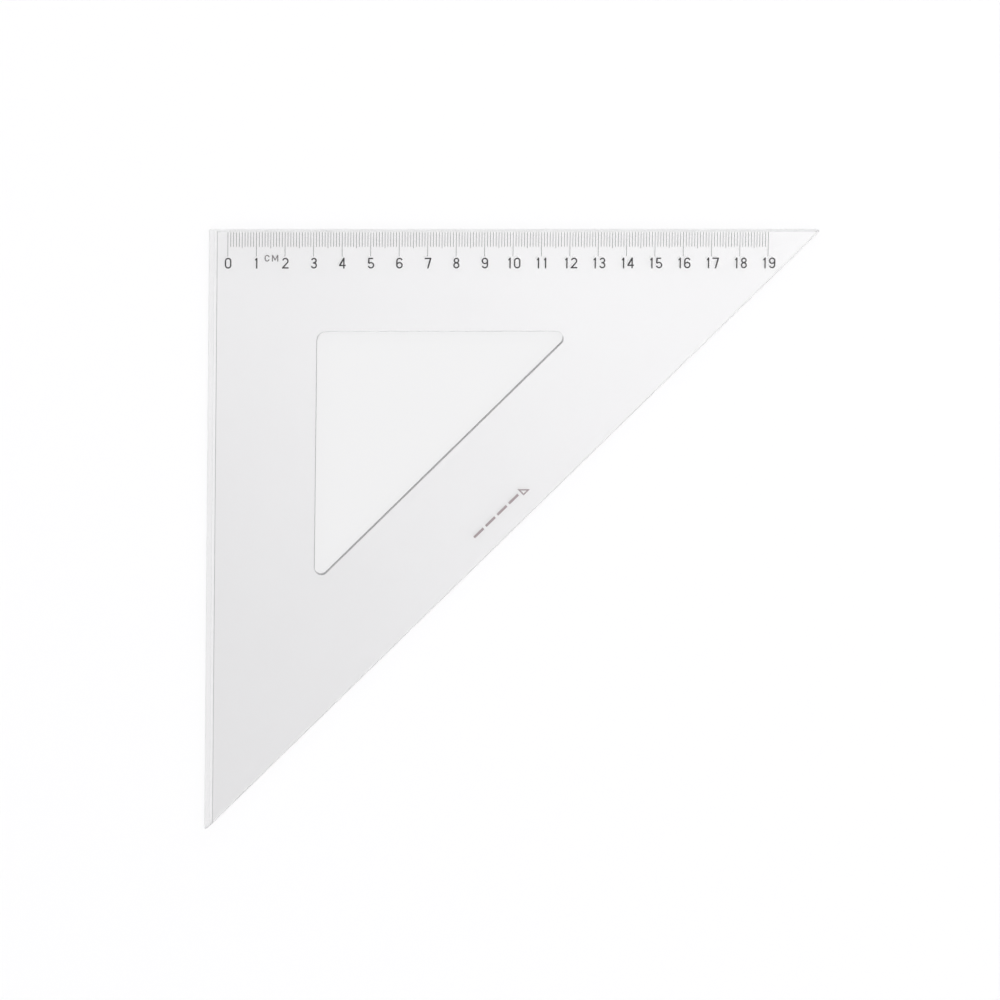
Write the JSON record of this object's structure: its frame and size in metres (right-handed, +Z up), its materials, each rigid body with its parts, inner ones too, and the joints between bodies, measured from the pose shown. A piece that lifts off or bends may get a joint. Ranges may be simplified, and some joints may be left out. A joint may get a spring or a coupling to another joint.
{
  "type": "set square",
  "caption": "Flat clear plastic 45-degree set square with a rounded triangular cut-out, a bevelled plain leg and a printed centimetre scale along the other leg.",
  "frame": {"origin": "middle of the base's bounding box, on the underside, which is 0.4 mm inside the middle of the hypotenuse", "axes": "+Z up through the plate's thickness, +X along the graduated leg from the zero end towards the 19 cm end, +Y from the plain leg's tip towards the graduated leg; the plain leg lies along -X's side"},
  "size_m": [0.2144, 0.2144, 0.003],
  "materials": {
    "clear_plastic": "clear colourless acrylic, polished faces, finely machined edges",
    "black_ink": "printed black ink, slightly soft gloss",
    "grey_ink": "thinly printed grey ink",
    "brown_ink": "thinly printed brownish grey ink"
  },
  "bodies": {
    "root": {"plate": "clear_plastic", "millimetre_lines": "black_ink", "half_centimetre_lines": "black_ink", "centimetre_lines": "black_ink", "numeral_0": "black_ink", "numeral_1": "black_ink", "numeral_2": "black_ink", "numeral_3": "black_ink", "numeral_4": "black_ink", "numeral_5": "black_ink", "numeral_6": "black_ink", "numeral_7": "black_ink", "numeral_8": "black_ink", "numeral_9": "black_ink", "numeral_10": "black_ink", "numeral_11": "black_ink", "numeral_12": "black_ink", "numeral_13": "black_ink", "numeral_14": "black_ink", "numeral_15": "black_ink", "numeral_16": "black_ink", "numeral_17": "black_ink", "numeral_18": "black_ink", "numeral_19": "black_ink", "unit_letters": "grey_ink", "plain_mark": "brown_ink"}
  },
  "joints": []
}
